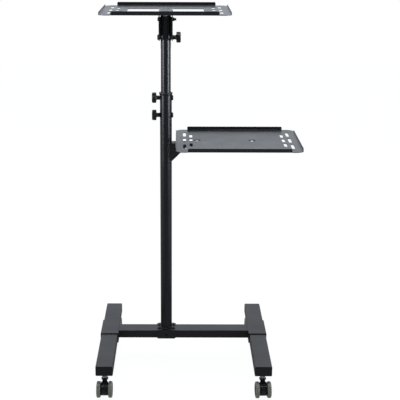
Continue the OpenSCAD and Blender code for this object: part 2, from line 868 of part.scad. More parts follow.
// Extrudes a Y and Z outline along X, centred
module across_x(w) { translate([-w / 2, 0, 0]) rotate([90, 0, 90]) linear_extrude(w) children(); }

// Hood between the wheels: a disc round the axle, a back, a neck, a collar and a socket for the pin
module hood(c, brake) {
    top = wheel_r + hood_r + hood_rise;
    crown = round_axle(hood_r - hood_chamfer / 2, hood_crown_a);
    crown_end = crown[0] + (top - crown[1]) * tan(hood_crown_a);
    collar_foot = collar_z - collar_h;
    neck_foot = collar_z - pin_l - cap_wall;
    color(plastic) at_stem(c) difference() {
        union() {
            translate([-hood_w / 2, -trail, wheel_r]) rotate([0, 90, 0]) rotate_extrude($fn = 72) polygon([
                [0, 0], [hood_r - hood_chamfer, 0], [hood_r, hood_chamfer],
                [hood_r, hood_w - hood_chamfer], [hood_r - hood_chamfer, hood_w], [0, hood_w]
            ]);
            across_x(hood_w - hood_chamfer) polygon([
                [-trail, wheel_r], crown, [crown_end, top], [-neck_d / 2, top], [hood_r - trail, wheel_r]
            ]);
            across_x(neck_d) polygon([
                [-trail, wheel_r], [-trail, top - hood_rise], [0, collar_foot], [0, neck_foot],
                [hood_r - trail, wheel_r]
            ]);
            translate([0, 0, neck_foot]) cylinder(d = neck_d, h = collar_foot - neck_foot);
            translate([0, 0, collar_foot - collar_taper])
                cylinder(d1 = neck_d, d2 = collar_d, h = collar_taper);
            translate([0, 0, collar_foot]) cylinder(d = collar_d, h = collar_h);
        }
        translate([-hood_w / 2 - over, -trail, wheel_r]) rod_x(axle_d + 2 * fit, hood_w + 2 * over);
        translate([0, 0, collar_z - pin_l]) cylinder(d = pin_d + 2 * fit, h = pin_l + over);
        if (brake) brake_room();
    }
}

// Room for the brake lever in the front of the hood, its two pin holes and the hole above it
module brake_room() {
    w = brake_w + 2 * loose;
    pivot = round_axle(brake_pivot_r, brake_pivot_a);
    pin_reach = w + 2 * brake_pin_l;
    across_x(w) {
        translate(pivot) circle(r = brake_r + brake_gap);
        intersection() {
            ring_2d(hood_r + over, brake_pad_r - brake_pad_t - brake_gap);
            sector(2 * hood_r, brake_foot_a, brake_slot_a);
        }
    }
    translate([-pin_reach / 2, pivot[0], pivot[1]]) rod_x(brake_pin_d + 2 * fit, pin_reach);
    translate([0, -trail, wheel_r]) rotate([90 - hood_hole_a, 0, 0])
        translate([0, 0, hood_r - brake_pad_t]) cylinder(d = hood_hole_d, h = brake_pad_t + over);
}

// Brake lever: a barrel with a pin at each end and a curved pad with a toe lip
module brake(c) {
    pivot = round_axle(brake_pivot_r, brake_pivot_a);
    pin_span = brake_w + 2 * brake_pin_l;
    color(plastic) at_stem(c) {
        across_x(brake_w) {
            translate(pivot) circle(r = brake_r);
            intersection() {
                ring_2d(brake_pad_r, brake_pad_r - brake_pad_t);
                sector(2 * brake_pad_r, brake_tip_a, brake_top_a);
            }
            intersection() {
                ring_2d(brake_pad_r + brake_lip, brake_pad_r - brake_pad_t);
                sector(2 * brake_pad_r, brake_tip_a, brake_lip_a);
            }
        }
        translate([-pin_span / 2, pivot[0], pivot[1]]) rod_x(brake_pin_d, pin_span);
    }
}

module axle(c) {
    half = wheel_out - hub_dish - hub_web - loose;
    color(zinc) at_stem(c) translate([-half, -trail, wheel_r]) rod_x(axle_d, 2 * half);
}

// Puts a wheel part, drawn along +X from its inner face, on the a or b side of the hood
module on_axle(c, side) {
    at_stem(c) translate([0, -trail, wheel_r]) mirror([side < 0 ? 1 : 0, 0, 0])
        translate([wheel_in, 0, 0]) children();
}

// Hub: rim, ribs and boss, closed on the outer side by a cap that stands out in the middle
module hub(c, side) {
    in_r = hub_r - fit - hub_rim;
    cap = wheel_w - hub_dish;
    color(plastic) on_axle(c, side) difference() {
        union() {
            rotate([0, 90, 0]) rotate_extrude() polygon([
                [0, cap - hub_web], [in_r, cap - hub_web], [in_r, hub_dish], [hub_r - fit, hub_dish],
                [hub_r - fit, cap], [in_r, cap], [in_r - hub_rim, wheel_w], [hub_boss_r, wheel_w],
                [axle_d / 2, cap], [0, cap]
            ]);
            rod_x(2 * hub_boss_r, cap - hub_web / 2);
            for (i = [0 : hub_ribs - 1]) rotate([i * 360 / hub_ribs, 0, 0])
                translate([2 * hub_dish, 0, -rib_t / 2])
                    cube([cap - hub_web / 2 - 2 * hub_dish, in_r + hub_rim / 2, rib_t]);
        }
        translate([-over, 0, 0]) rod_x(axle_d + 2 * fit, cap - hub_web + over);
    }
}

module tyre(c, side) {
    color(tread) on_axle(c, side) rotate([0, 90, 0]) rotate_extrude() difference() {
        translate([0, wheel_w / 2]) round_rect(wheel_d, wheel_w, shoulder_r);
        translate([-wheel_r - over, -over]) square([wheel_r + hub_r + over, wheel_w + 2 * over]);
    }
}

foot(-left_reach);  // left_foot
foot(right_reach);  // right_foot
end_cap(-left_reach, -foot_front, 0);  // front_left_cap
end_cap(right_reach, -foot_front, 0);  // front_right_cap
end_cap(-left_reach, foot_back, 180);  // rear_left_cap
end_cap(right_reach, foot_back, 180);  // rear_right_cap
saddle(-left_reach);  // left_saddle
saddle(right_reach);  // right_saddle
foot_bolts();
crossbar();
column_seat();
seat_bolts();
seat_nuts();
lower_pole();
pole_bush();
clamp_bolt(clamp_hi);  // upper_clamp_bolt
clamp_bolt(clamp_lo);  // lower_clamp_bolt
clamp_knob(clamp_hi);  // upper_clamp_knob
clamp_knob(clamp_lo);  // lower_clamp_knob
upper_pole();
pole_plug();
pivot_bolt();
pivot_nut();
tilt_spacers();
tilt_bolt();
tilt_knob();
tilt_bracket();
upper_tray();
upper_tray_fixings();
tray_arm();
lower_tray();
lower_tray_fixings();
caster_stems();
hood(FL, true);  // front_left_hood
brake(FL);  // front_left_brake
axle(FL);  // front_left_axle
hub(FL, -1);  // front_left_hub_a
hub(FL, 1);  // front_left_hub_b
tyre(FL, -1);  // front_left_tyre_a
tyre(FL, 1);  // front_left_tyre_b
hood(FR, true);  // front_right_hood
brake(FR);  // front_right_brake
axle(FR);  // front_right_axle
hub(FR, -1);  // front_right_hub_a
hub(FR, 1);  // front_right_hub_b
tyre(FR, -1);  // front_right_tyre_a
tyre(FR, 1);  // front_right_tyre_b
hood(RL, false);  // rear_left_hood
axle(RL);  // rear_left_axle
hub(RL, -1);  // rear_left_hub_a
hub(RL, 1);  // rear_left_hub_b
tyre(RL, -1);  // rear_left_tyre_a
tyre(RL, 1);  // rear_left_tyre_b
hood(RR, false);  // rear_right_hood
axle(RR);  // rear_right_axle
hub(RR, -1);  // rear_right_hub_a
hub(RR, 1);  // rear_right_hub_b
tyre(RR, -1);  // rear_right_tyre_a
tyre(RR, 1);  // rear_right_tyre_b
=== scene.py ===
# %% [markdown]
# A projector cart in black powder coat: four twin-wheel casters, a tubular base, a telescoping
# column and two pressed trays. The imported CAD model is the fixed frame, and this script dresses
# it: camera, finishes, and the small made pieces that give steel and plastic their scale.

# %% Load the frame
import json
import math

import bmesh
import bpy
from mathutils import Matrix, Vector


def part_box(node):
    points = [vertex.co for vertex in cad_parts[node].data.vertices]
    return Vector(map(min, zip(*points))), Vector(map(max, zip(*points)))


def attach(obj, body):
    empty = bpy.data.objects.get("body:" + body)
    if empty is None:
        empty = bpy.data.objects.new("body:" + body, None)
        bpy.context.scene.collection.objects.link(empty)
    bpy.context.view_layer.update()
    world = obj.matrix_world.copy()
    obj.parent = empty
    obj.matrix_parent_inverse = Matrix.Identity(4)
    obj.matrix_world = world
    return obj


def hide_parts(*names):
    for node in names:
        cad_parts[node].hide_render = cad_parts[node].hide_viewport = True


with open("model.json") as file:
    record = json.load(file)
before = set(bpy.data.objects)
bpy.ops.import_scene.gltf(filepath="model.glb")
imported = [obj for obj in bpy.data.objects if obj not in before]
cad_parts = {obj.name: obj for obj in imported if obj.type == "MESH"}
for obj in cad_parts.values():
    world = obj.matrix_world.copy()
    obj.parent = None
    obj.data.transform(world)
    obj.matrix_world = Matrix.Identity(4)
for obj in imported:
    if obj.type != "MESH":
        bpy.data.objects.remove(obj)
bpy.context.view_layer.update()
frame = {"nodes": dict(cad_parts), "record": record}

MM = 0.001
pole_low, pole_high = (Vector(corner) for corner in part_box("lower_pole"))
column = (pole_low + pole_high) / 2
print("column axis at", round(column.x, 4), round(column.y, 4))

# %% [markdown]
# The camera stands where the photograph's stood: 2.66 m in front of the column and 1.33 m up,
# tipped down 17 degrees. The lens follows from the photograph's own perspective, and a small
# sideways shift puts the picture's centre where it was.

# %% Camera
SENSOR = 36.0
PHOTO_SIDE = 400
FOCAL_PX = 920.0
CENTRE_PX = 179.5
CAMERA_RIGHT = 40.5 * MM
CAMERA_BACK = 2659 * MM
CAMERA_UP = 1334 * MM
PITCH = math.radians(17.04)
ROLL = math.radians(0.13)

lens = bpy.data.cameras.new("photo_camera")
lens.sensor_width = SENSOR
lens.lens = FOCAL_PX / PHOTO_SIDE * SENSOR
lens.shift_x = 0.5 - CENTRE_PX / PHOTO_SIDE
lens.clip_end = 50
camera = bpy.data.objects.new("photo_camera", lens)
bpy.context.collection.objects.link(camera)
tipped = Matrix.Rotation(math.pi / 2 - PITCH, 4, "X") @ Matrix.Rotation(ROLL, 4, "Z")
camera.matrix_world = Matrix.Translation(
    (column.x + CAMERA_RIGHT, column.y - CAMERA_BACK, CAMERA_UP)
) @ tipped
bpy.context.scene.camera = camera
print("lens", round(lens.lens, 1), "mm, shift", round(lens.shift_x, 4))

# %% [markdown]
# A material is a small chain of nodes. One helper adds a node with its settings and links, and
# one turns a paint-chip colour, written as sRGB hex, into the linear light that shaders use.
# The others are the three things that every finish here needs: grains of a known size, a value
# that drifts with them, and a fine relief.

# %% Material helpers
NOISE_LOW, NOISE_HIGH = 0.3, 0.7  # nearly all of a noise lies between these


def srgb(hex_colour):
    """Linear colour with alpha from an sRGB hex value."""
    parts = [int(hex_colour[i:i + 2], 16) / 255 for i in (1, 3, 5)]
    line = [c / 12.92 if c <= 0.04045 else ((c + 0.055) / 1.055) ** 2.4 for c in parts]
    return (*line, 1.0)


def add(owner, kind, settings=None, **links):
    """Adds a node to a material or world.

    Settings are the node's properties. Links are values or sockets for its inputs, by name, or
    by place where a name starts with "in" and a number.
    """
    node = owner.node_tree.nodes.new(kind)
    for name, value in (settings or {}).items():
        setattr(node, name, value)
    for name, value in links.items():
        by_place = name.startswith("in") and name[2:].isdigit()
        socket = node.inputs[int(name[2:]) if by_place else name.replace("_", " ")]
        if isinstance(value, bpy.types.NodeSocket):
            owner.node_tree.links.new(value, socket)
        else:
            socket.default_value = value
    return node


def blank_material(name):
    material = bpy.data.materials.new(name)
    material.use_nodes = True
    material.node_tree.nodes.clear()
    return material


def close_material(material, shader):
    add(material, "ShaderNodeOutputMaterial", Surface=shader.outputs[0])
    return material


def grains(material, size, detail):
    """Noise on the object's own coordinates, its grains about a size in millimetres."""
    where = add(material, "ShaderNodeTexCoord").outputs["Object"]
    return add(material, "ShaderNodeTexNoise", Vector=where, Scale=1 / (size * MM),
               Detail=detail).outputs["Fac"]


def drift(material, noise, low, high):
    """A value that drifts between two limits with the noise."""
    return add(material, "ShaderNodeMapRange", Value=noise, From_Min=NOISE_LOW,
               From_Max=NOISE_HIGH, To_Min=low, To_Max=high).outputs["Result"]


def relief(material, noise, strength, depth, **under):
    """A surface direction that follows the noise, with a depth in millimetres."""
    return add(material, "ShaderNodeBump", Strength=strength, Distance=depth * MM,
               Height=noise, **under).outputs["Normal"]


# %% [markdown]
# Powder coat is a polyester paint that is baked on as dust. It flows almost level, and leaves an
# orange peel about two millimetres across, with finer grains in it. It is not metallic: its
# gloss comes from a clear IOR of 1.5, which is why black paint turns grey where it is seen at a
# low angle. The trays have the coarsest grain, which shows as a faint mottle on their tops.

# %% Powder coat
GLOSS_CLOUD = 90  # patches in which the paint flowed a little better or worse


def powder_coat(name, dark, light, roughness, peel, grain):
    m = blank_material(name)
    fine = grains(m, grain, detail=1.0)
    tone = add(m, "ShaderNodeMix", {"data_type": "RGBA"}, in0=fine,
               in6=srgb(dark), in7=srgb(light))
    gloss = drift(m, grains(m, GLOSS_CLOUD, detail=3.0), roughness - 0.03, roughness + 0.04)
    orange_peel = relief(m, grains(m, peel, detail=2.0), strength=0.035, depth=0.2)
    skin = relief(m, fine, strength=0.06, depth=0.1, Normal=orange_peel)
    paint = add(m, "ShaderNodeBsdfPrincipled", Base_Color=tone.outputs["Result"],
                Roughness=gloss, IOR=1.5, Normal=skin)
    return close_material(m, paint)


column_coat = powder_coat("powder_coat_column", "#101115", "#18191e", roughness=0.30,
                          peel=2.4, grain=0.7)
tray_coat = powder_coat("powder_coat_tray", "#0a0b0d", "#212428", roughness=0.33,
                        peel=2.0, grain=1.4)
base_coat = powder_coat("powder_coat_base", "#0e0e11", "#17171b", roughness=0.43,
                        peel=2.2, grain=0.8)
print("three powder coats")

# %% [markdown]
# The knobs, hoods and caps are moulded black nylon. A mould gives it a fine spark-eroded grain
# and a soft sheen, and handling polishes it in patches.

# %% Moulded nylon
POLISHED_PATCH = 14


def moulded(name, colour, roughness, grit):
    m = blank_material(name)
    patches = grains(m, POLISHED_PATCH, detail=2.0)
    skin = relief(m, grains(m, grit, detail=2.0), strength=0.25, depth=0.05)
    plastic = add(m, "ShaderNodeBsdfPrincipled", Base_Color=srgb(colour), IOR=1.53,
                  Roughness=drift(m, patches, roughness - 0.05, roughness + 0.05),
                  Normal=skin)
    return close_material(m, plastic)


nylon = moulded("moulded_nylon", "#111113", roughness=0.36, grit=0.5)
# Hoods, brake levers and hubs take a copy of the nylon a shade lighter than the knobs': a painted
# sheen, standing in for the grey-blue gleam on the hoods' tops.
hood_nylon_painted_sheen = moulded("moulded_nylon_hood", "#151618", roughness=0.33, grit=0.6)
print("two nylons")

# %% [markdown]
# Stems, axles and the side tray's screws are zinc-plated steel: a metal, so its colour is in its
# reflection. The bath leaves it bright with a faint blue, a little cloudy from handling. Bolts,
# nuts and the upper tray's screws are then dipped in black passivate, so only their edges shine.

# %% Zinc plate
BATH_CLOUD = 3


def zinc_plate(name, colour, roughness):
    m = blank_material(name)
    cloud = grains(m, BATH_CLOUD, detail=4.0)
    plate = add(m, "ShaderNodeBsdfPrincipled", Base_Color=srgb(colour), Metallic=1.0,
                Roughness=drift(m, cloud, roughness - 0.06, roughness + 0.08),
                Normal=relief(m, cloud, strength=0.15, depth=0.05))
    return close_material(m, plate)


zinc = zinc_plate("zinc_plate", "#b9bdc4", roughness=0.30)
black_zinc = zinc_plate("black_zinc_plate", "#3a3a3d", roughness=0.34)
print("two zinc plates")

# %% [markdown]
# The tyres are a soft grey thermoplastic rubber. Rolling rubs dust into it, so its grey is
# cloudy, and a fine relief breaks up its sheen.

# %% Tyre rubber
DUST_CLOUD, RUBBER_GRAIN = 7, 0.8


def tyre_rubber(name, colour, dust):
    m = blank_material(name)
    cloud = grains(m, DUST_CLOUD, detail=4.0)
    tone = add(m, "ShaderNodeMix", {"data_type": "RGBA"}, in0=cloud,
               in6=srgb(colour), in7=srgb(dust))
    skin = relief(m, grains(m, RUBBER_GRAIN, detail=2.0), strength=0.2, depth=0.08)
    rubber = add(m, "ShaderNodeBsdfPrincipled", Base_Color=tone.outputs["Result"],
                 Roughness=0.33, IOR=1.5, Normal=skin)
    return close_material(m, rubber)


tread = tyre_rubber("tyre_rubber", "#66665c", dust="#8c8c81")
print("one rubber")


# %% [markdown]
# A node's name says what the piece is, and that settles its finish: rubber tyres, nylon for
# whatever is moulded, zinc for whatever is turned, and powder coat for all the sheet and tube.

# %% Give every node its finish
def finish_of(node):
    if "tyre" in node:
        return tread
    if "hood" in node or "brake" in node or "hub" in node:
        return hood_nylon_painted_sheen
    if any(word in node for word in ("cap", "bush", "plug", "knob", "spacers")):
        return nylon
    if node in ("caster_stems", "lower_tray_fixings") or "axle" in node:
        return zinc
    if any(word in node for word in ("bolt", "nut", "fixings")):
        return black_zinc
    if "tray" in node and "arm" not in node:
        return tray_coat
    return column_coat if "pole" in node else base_coat


def set_material(piece, material):
    piece.data.materials.clear()
    piece.data.materials.append(material)


for name, node in frame["nodes"].items():
    set_material(node, finish_of(name))
print(len(frame["nodes"]), "nodes have a finish")

# %% [markdown]
# Every made piece starts as a primitive and is shaped in edit mode. These helpers do what a hand
# would: take a piece, pick its faces or edges by their place, round a rim, pull a face out, and
# start from a turned bar or a sawn block. All sizes are in millimetres, and only the block's are
# in metres, because they come from boxes of the frame.

# %% Helpers for shaping
def take(piece):
    """Makes a piece the only one that is selected, and active."""
    bpy.ops.object.select_all(action="DESELECT")
    piece.select_set(True)
    bpy.context.view_layer.objects.active = piece
    return piece


def editing(on=True):
    bpy.ops.object.mode_set(mode="EDIT" if on else "OBJECT")


def pick_faces(test):
    """In edit mode, selects the faces that pass a test on their centre and normal."""
    bpy.ops.mesh.select_mode(type="FACE")
    bpy.ops.mesh.select_all(action="DESELECT")
    mesh = bmesh.from_edit_mesh(bpy.context.edit_object.data)
    for face in mesh.faces:
        face.select_set(test(face.calc_center_median() / MM, face.normal))
    bmesh.update_edit_mesh(bpy.context.edit_object.data)


def pick_edges(test):
    """In edit mode, selects the edges that pass a test on both their ends."""
    bpy.ops.mesh.select_mode(type="EDGE")
    bpy.ops.mesh.select_all(action="DESELECT")
    mesh = bmesh.from_edit_mesh(bpy.context.edit_object.data)
    for edge in mesh.edges:
        edge.select_set(test(edge.verts[0].co / MM, edge.verts[1].co / MM))
    bmesh.update_edit_mesh(bpy.context.edit_object.data)


def bevel(width, steps):
    """Rounds the picked edges."""
    bpy.ops.mesh.bevel(offset=width * MM, segments=steps, affect="EDGES", clamp_overlap=True)


def inset(width):
    """Sets the picked faces in from their border."""
    bpy.ops.mesh.inset(thickness=width * MM)


def round_rim(height, width, steps):
    """Rounds the edges that lie flat at a height."""
    pick_edges(lambda a, b: max(abs(a.z - height), abs(b.z - height)) < 0.01)
    bevel(width, steps)


def pull(rise, scale=1.0):
    """Extrudes the picked face along Z and resizes its far end about the axis."""
    bpy.ops.mesh.extrude_region_move(TRANSFORM_OT_translate={"value": (0, 0, rise * MM)})
    bpy.ops.transform.resize(value=(scale, scale, 1), center_override=(0, 0, 0))


def settled():
    """The new primitive, with its place, turn and size moved into its mesh."""
    bpy.ops.object.transform_apply(location=True, rotation=True, scale=True)
    return bpy.context.object


def turned(radius, depth, low=0, sides=48):
    """A cylinder on the Z axis."""
    bpy.ops.object.select_all(action="DESELECT")
    bpy.ops.mesh.primitive_cylinder_add(vertices=sides, radius=radius * MM, depth=depth * MM,
                                        location=(0, 0, (low + depth / 2) * MM))
    return settled()


def block(centre, size, turn=0.0):
    """A box, turned about Z; centre and size in metres."""
    bpy.ops.object.select_all(action="DESELECT")
    bpy.ops.mesh.primitive_cube_add(size=1, location=centre, rotation=(0, 0, turn), scale=size)
    return settled()


# %% [markdown]
# The other helpers treat whole pieces: apply a modifier, cut one shape with another, melt hard
# edges round, copy a model to its places and put it where a CAD node was. A finished piece sits
# at the origin, its place held by its mesh, and rides on the body of the node it stands for.

# %% Helpers for whole pieces
body_of = {node: body for body, nodes in frame["record"]["behaviour"]["bodies"].items()
           for node in nodes}


def use(piece, kind, **settings):
    """Adds a modifier, sets it and applies it."""
    take(piece)
    modifier = piece.modifiers.new(kind.lower(), kind)
    for name, value in settings.items():
        setattr(modifier, name, value)
    bpy.ops.object.modifier_apply(modifier=modifier.name)
    return piece


def cut(piece, cutter, operation="DIFFERENCE"):
    """Cuts a piece with another, which is used up."""
    use(piece, "BOOLEAN", operation=operation, object=cutter, solver="EXACT")
    bpy.data.objects.remove(cutter)
    return piece


def melted(piece, voxel, turns):
    """Rounds every edge by a voxel remesh and a few turns of smoothing."""
    use(piece, "REMESH", mode="VOXEL", voxel_size=voxel * MM)
    return use(piece, "SMOOTH", factor=0.5, iterations=turns)


def even_shading(piece):
    """Lets the large faces set the shading, so that flat plates look flat."""
    return use(piece, "WEIGHTED_NORMAL", keep_sharp=True, weight=50)


def joined(first, second):
    take(first)
    second.select_set(True)
    bpy.ops.object.join()
    return first


def copies(model, places, name):
    """One new object that holds a copy of the model's mesh at every place."""
    whole = bmesh.new()
    for place in places:
        part = model.data.copy()
        part.transform(place)
        whole.from_mesh(part)
        bpy.data.meshes.remove(part)
    mesh = bpy.data.meshes.new(name)
    whole.to_mesh(mesh)
    whole.free()
    made = bpy.data.objects.new(name, mesh)
    bpy.context.collection.objects.link(made)
    return made


def smooth(piece, angle=32):
    take(piece)
    bpy.ops.object.shade_smooth_by_angle(angle=math.radians(angle))
    return piece


def stands_for(piece, node):
    """Puts a finished piece in the place of a CAD node, on the node's own body."""
    piece.name = f"made_{node}"
    set_material(piece, finish_of(node))
    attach(piece, body_of[node])
    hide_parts(node)
    print(piece.name, len(piece.data.polygons), "faces")
    return piece


def fitted(model, places, node, angle=32, last=True):
    """Copies of a model stand for a node. After its last use the model goes."""
    stands_for(smooth(copies(model, places, node), angle), node)
    if last:
        bpy.data.objects.remove(model)


def at(x, y, z, facing=None):
    place = Matrix.Translation((x, y, z))
    return place @ facing if facing else place


def box_of(node):
    """Low corner, high corner and middle of a CAD node."""
    low, high = (Vector(corner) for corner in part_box(node))
    return low, high, (low + high) / 2


def four_corners(low, high, inward):
    """The corners of a box seen from above, moved inward by a distance in metres."""
    return [(x, y) for x in (low.x + inward, high.x - inward)
            for y in (low.y + inward, high.y - inward)]


TO_RIGHT = Matrix.Rotation(math.pi / 2, 4, "Y")
TO_LEFT = Matrix.Rotation(-math.pi / 2, 4, "Y")
UPSIDE_DOWN = Matrix.Rotation(math.pi, 4, "X")

# %% [markdown]
# Sheet steel has no sharp edges: the press rounds them, and the paint draws back from them. A
# bevelled copy of each folded plate shows that as a thin bright line along every edge. The CAD
# mesh is loose triangles, so its copy is merged and its flat faces are dissolved first.

# %% Folded and pressed steel
MERGED_WITHIN = 0.005
FLAT_WITHIN = math.radians(0.5)
HARD_ABOVE = math.radians(40)


def merged_copy(node):
    piece = take(copies(frame["nodes"][node], [Matrix()], f"made_{node}"))
    editing()
    bpy.ops.mesh.select_all(action="SELECT")
    bpy.ops.mesh.remove_doubles(threshold=MERGED_WITHIN * MM)
    editing(False)
    return piece


def eased_plate(node, width):
    """A merged copy of a CAD plate, its hard edges rounded by a given width."""
    piece = merged_copy(node)
    editing()
    bpy.ops.mesh.select_all(action="SELECT")
    bpy.ops.mesh.dissolve_limited(angle_limit=FLAT_WITHIN)
    editing(False)
    use(piece, "BEVEL", width=width * MM, segments=2, limit_method="ANGLE",
        angle_limit=HARD_ABOVE, use_clamp_overlap=True, harden_normals=False)
    stands_for(even_shading(smooth(piece, 30)), node)


for plate in ("upper_tray", "lower_tray"):
    eased_plate(plate, 0.35)
for plate in ("tray_arm", "tilt_bracket", "left_saddle", "right_saddle", "column_seat"):
    eased_plate(plate, 0.5)

# %% [markdown]
# The bolts are button-head screws with a hexagon socket. On a lathe the head is one round rim on
# a cylinder, so that is how it is made: bevel the rim, inset the underside to the shank, and
# pull the shank and its thread out of it in small steps. A hexagon cuts the socket.

# %% How a bolt is made
COS_30 = math.cos(math.pi / 6)
DOME = 0.82  # how far the head is rounded, as a share of its height
UNDER_RIM = 0.25
THREAD_ROOT = 0.87  # a share of the thread's own width
SOCKET_FLATS = 0.66  # a share of the bolt's size
SOCKET_FLOOR = 0.36  # a share of the head's height


def bolt(size, head_r, head_h, shank, turns, pitch, socket=None):
    """A bolt with its head above Z = 0 and its shank below."""
    piece = turned(head_r, head_h)
    editing()
    round_rim(head_h, head_h * DOME, 6)
    round_rim(0, UNDER_RIM, 2)
    pick_faces(lambda centre, normal: normal.z < -0.9)
    inset(head_r - UNDER_RIM - size / 2)
    pull(-(shank - turns * pitch))
    for _ in range(turns):
        pull(-pitch / 2, THREAD_ROOT)
        pull(-pitch / 2, 1 / THREAD_ROOT)
    editing(False)
    flats = socket or size * SOCKET_FLATS
    return cut(piece, turned(flats / 2 / COS_30, head_h, head_h * SOCKET_FLOOR, 6))


# %% [markdown]
# Eight M6 bolts hold the base together. Four pass down through the wings of the column's seat,
# and four come up from below through the saddles into the feet.

# %% Bolts of the base
M6, M6_HEAD, M6_RISE, M6_PITCH = 6, 6, 3.5, 1.0
M8, M8_HEAD, M8_RISE, M8_PITCH = 8, 8, 4.2, 1.25
low, high, _ = box_of("seat_bolts")
seat_plane = high.z - M6_RISE * MM
seat_spots = four_corners(low, high, M6_HEAD * MM)
fitted(bolt(M6, M6_HEAD, M6_RISE, (seat_plane - low.z) / MM, 6, M6_PITCH),
       [at(x, y, seat_plane) for x, y in seat_spots], "seat_bolts")

low, high, _ = box_of("foot_bolts")
foot_spots = four_corners(low, high, M6_HEAD * MM)
fitted(bolt(M6, M6_HEAD, M6_RISE, (high.z - low.z) / MM - M6_RISE, 6, M6_PITCH),
       [at(x, y, low.z + M6_RISE * MM, UPSIDE_DOWN) for x, y in foot_spots],
       "foot_bolts")

# %% [markdown]
# The two clamp bolts cross the column with their heads on the right, the pivot and tilt bolts
# cross the tilt head with theirs on the left. Their lengths are those of the CAD bolts.

# %% Bolts of the column and the tilt head
for node in ("upper_clamp_bolt", "lower_clamp_bolt"):
    low, high, mid = box_of(node)
    fitted(bolt(M8, M8_HEAD, M8_RISE, (high.x - low.x) / MM - M8_RISE, 10, M8_PITCH),
           [at(high.x - M8_RISE * MM, mid.y, mid.z, TO_RIGHT)], node)

HEAD_PITCH = 1.0  # M6 as usual, and M8 with a fine thread
for node, size, head_r, rise in (("pivot_bolt", M6, M6_HEAD, M6_RISE),
                                 ("tilt_bolt", M8, M8_HEAD, M8_RISE)):
    low, high, mid = box_of(node)
    fitted(bolt(size, head_r, rise, (high.x - low.x) / MM - rise, 9, HEAD_PITCH),
           [at(low.x + rise * MM, mid.y, mid.z, TO_LEFT)], node)

# %% [markdown]
# A pressed nut is a hexagon bar that a cone has cut at both ends, which leaves an arc over each
# flat. Intersecting a hexagon with a disc that has bevelled rims gives just those arcs.

# %% Nuts
ARC = 1.1  # how far the cone reaches in, as a share of corner less flat


def nut(flats, bore, height):
    corner = flats / 2 / COS_30
    disc = turned(corner, height, 0, 60)
    editing()
    round_rim(height, (corner - flats / 2) * ARC, 1)
    round_rim(0, (corner - flats / 2) * ARC, 1)
    editing(False)
    piece = cut(turned(corner, height, 0, 6), disc, "INTERSECT")
    return cut(piece, turned(bore / 2, height * 3, -height))


m6_nut = nut(flats=10, bore=6.1, height=5)
low, high, _ = box_of("seat_nuts")
fitted(m6_nut, [at(x, y, low.z) for x, y in seat_spots], "seat_nuts", last=False)
low, high, mid = box_of("pivot_nut")
fitted(m6_nut, [at(low.x, mid.y, mid.z, TO_RIGHT)], "pivot_nut", last=False)

# %% [markdown]
# The tray screws lie in pressed dishes. They are dome-headed screws for a cross-point driver:
# two thin blades, at right angles, cut the recess, and a small hexagon its pilot.

# %% Tray screws with their nuts
SCREW_HEAD, SCREW_RISE = 6, 3.2
PILOT = 0.8
BLADE = (5.4 * MM, 1.1 * MM, 3.0 * MM)
BLADE_TURN = 0.3


def cross_screw(length):
    screw = bolt(M6, SCREW_HEAD, SCREW_RISE, length, 5, M6_PITCH, PILOT)
    for turn in (BLADE_TURN, BLADE_TURN + math.pi / 2):
        cut(screw, block((0, 0, SCREW_RISE * MM), BLADE, turn))
    return screw


for node in ("upper_tray_fixings", "lower_tray_fixings"):
    low, high, mid = box_of(node)
    seat, inward = high.z - SCREW_RISE * MM, SCREW_HEAD * MM
    if node.startswith("upper"):
        spots = [(mid.x, low.y + inward), (mid.x, high.y - inward)]
    else:
        spots = [(low.x + inward, mid.y), (high.x - inward, mid.y)]
    screw = cross_screw((seat - low.z) / MM)
    heads = copies(screw, [at(x, y, seat) for x, y in spots], "heads")
    nuts = copies(m6_nut, [at(x, y, low.z) for x, y in spots], "nuts")
    stands_for(smooth(joined(heads, nuts)), node)
    bpy.data.objects.remove(screw)
bpy.data.objects.remove(m6_nut)

# %% [markdown]
# A hand knob is moulded nylon on a steel bolt: a five-lobed head with a waisted neck. The head is
# a cylinder with round rims, five round cutters leave the lobes, and melting softens the crests,
# as the mould's radii do. A shallow dimple in the face takes the mould's gate.

# %% Hand knobs
KNOB_R, KNOB_T, NECK_L = 15.5, 13, 10
FRONT_ROUND, BACK_ROUND = 3.6, 2.6
NECK_STEP = 5.6  # from the back's rim in to the neck
WAIST = ((0.25, 0.84), (0.35, 1.0), (0.4, 1.14))  # shares of the neck, and change of width
LOBES, SCOOP_ROUND = 5, 1.5
DIMPLE_R, DIMPLE_DEPTH = 5.5, 0.5
UPPER_SPUN_BY = 0.35


def knob():
    piece = turned(KNOB_R, KNOB_T, NECK_L, 100)
    editing()
    round_rim(NECK_L + KNOB_T, FRONT_ROUND, 5)
    round_rim(NECK_L, BACK_ROUND, 4)
    pick_faces(lambda centre, normal: normal.z < -0.99)
    inset(NECK_STEP)
    for share, width in WAIST:
        pull(-NECK_L * share, width)
    editing(False)
    scoop_r = KNOB_R * 2 / LOBES
    scoop_low = NECK_L * 0.6
    scoop = turned(scoop_r, KNOB_T * 2, scoop_low)
    editing()
    round_rim(scoop_low, SCOOP_ROUND, 3)
    editing(False)
    ring = [Matrix.Rotation(2 * math.pi * i / LOBES, 4, "Z")
            @ at((KNOB_R + scoop_r / 2) * MM, 0, 0) for i in range(LOBES)]
    cut(piece, copies(scoop, ring, "scoops"))
    bpy.data.objects.remove(scoop)
    melted(piece, voxel=0.45, turns=5)
    return cut(piece, turned(DIMPLE_R, 3, NECK_L + KNOB_T - DIMPLE_DEPTH))


